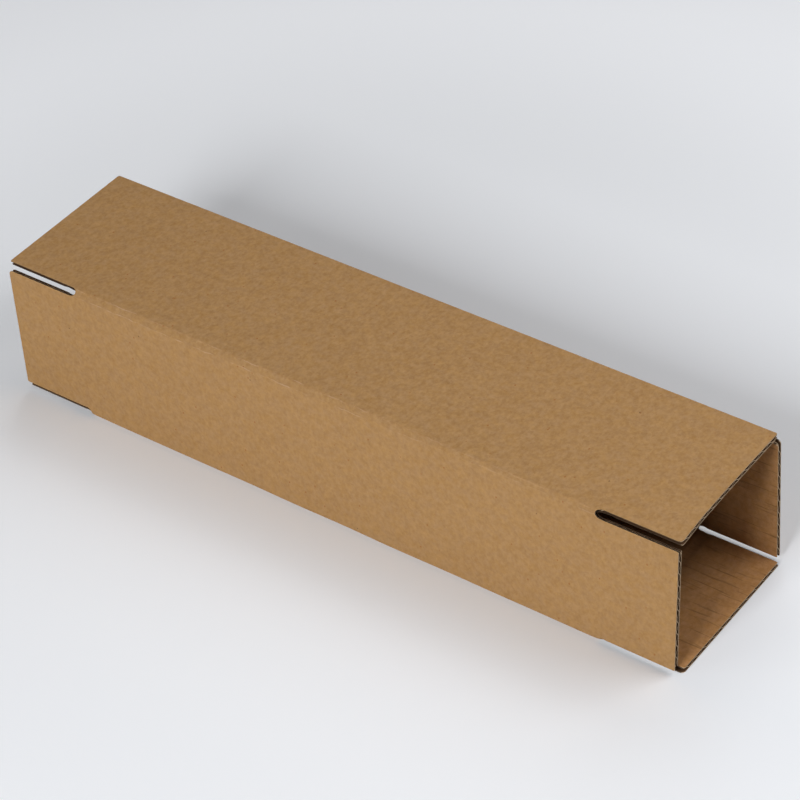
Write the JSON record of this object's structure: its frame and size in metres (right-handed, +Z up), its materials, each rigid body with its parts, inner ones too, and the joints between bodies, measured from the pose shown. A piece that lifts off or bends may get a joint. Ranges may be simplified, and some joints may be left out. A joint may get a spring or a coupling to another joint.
{
  "type": "shipping box",
  "caption": "Long narrow open-ended shipping box of folded corrugated board, lying on one side, with hinged end flaps, slotted corners and a glued lap seam along one edge.",
  "frame": {"origin": "centre of the underside, halfway between the two open ends", "axes": "+X along the length to the picture's right end, -Y out of the front wall, +Z up"},
  "size_m": [0.317, 0.074, 0.065],
  "materials": {
    "kraft_board": "matte uncoated brown kraft liner with fine fibres and small dark specks, fluted medium showing at the cut edges"
  },
  "bodies": {
    "sleeve": {"sleeve": "kraft_board"},
    "left_top_flap": {"left_top_flap": "kraft_board"},
    "left_bottom_flap": {"left_bottom_flap": "kraft_board"},
    "left_front_flap": {"left_front_flap": "kraft_board"},
    "left_back_flap": {"left_back_flap": "kraft_board"},
    "right_top_flap": {"right_top_flap": "kraft_board"},
    "right_bottom_flap": {"right_bottom_flap": "kraft_board"},
    "right_front_flap": {"right_front_flap": "kraft_board"},
    "right_back_flap": {"right_back_flap": "kraft_board"}
  },
  "joints": [
    {"name": "left_top_fold", "type": "hinge", "parent": "sleeve", "child": "left_top_flap", "pos_m": [-0.1276, 0, 0.065], "axis": [0, -1, 0], "range_deg": [-170, 90]},
    {"name": "left_bottom_fold", "type": "hinge", "parent": "sleeve", "child": "left_bottom_flap", "pos_m": [-0.1276, 0, 0], "axis": [0, 1, 0], "range_deg": [-170, 90]},
    {"name": "left_front_fold", "type": "hinge", "parent": "sleeve", "child": "left_front_flap", "pos_m": [-0.125, -0.037, 0.0325], "axis": [0, 0, -1], "range_deg": [-170, 90]},
    {"name": "left_back_fold", "type": "hinge", "parent": "sleeve", "child": "left_back_flap", "pos_m": [-0.125, 0.037, 0.03125], "axis": [0, 0, 1], "range_deg": [-170, 90]},
    {"name": "right_top_fold", "type": "hinge", "parent": "sleeve", "child": "right_top_flap", "pos_m": [0.1276, 0, 0.065], "axis": [0, 1, 0], "range_deg": [-170, 90]},
    {"name": "right_bottom_fold", "type": "hinge", "parent": "sleeve", "child": "right_bottom_flap", "pos_m": [0.1276, 0, 0], "axis": [0, -1, 0], "range_deg": [-170, 90]},
    {"name": "right_front_fold", "type": "hinge", "parent": "sleeve", "child": "right_front_flap", "pos_m": [0.125, -0.037, 0.0325], "axis": [0, 0, 1], "range_deg": [-170, 90]},
    {"name": "right_back_fold", "type": "hinge", "parent": "sleeve", "child": "right_back_flap", "pos_m": [0.125, 0.037, 0.03125], "axis": [0, 0, -1], "range_deg": [-170, 90]}
  ]
}
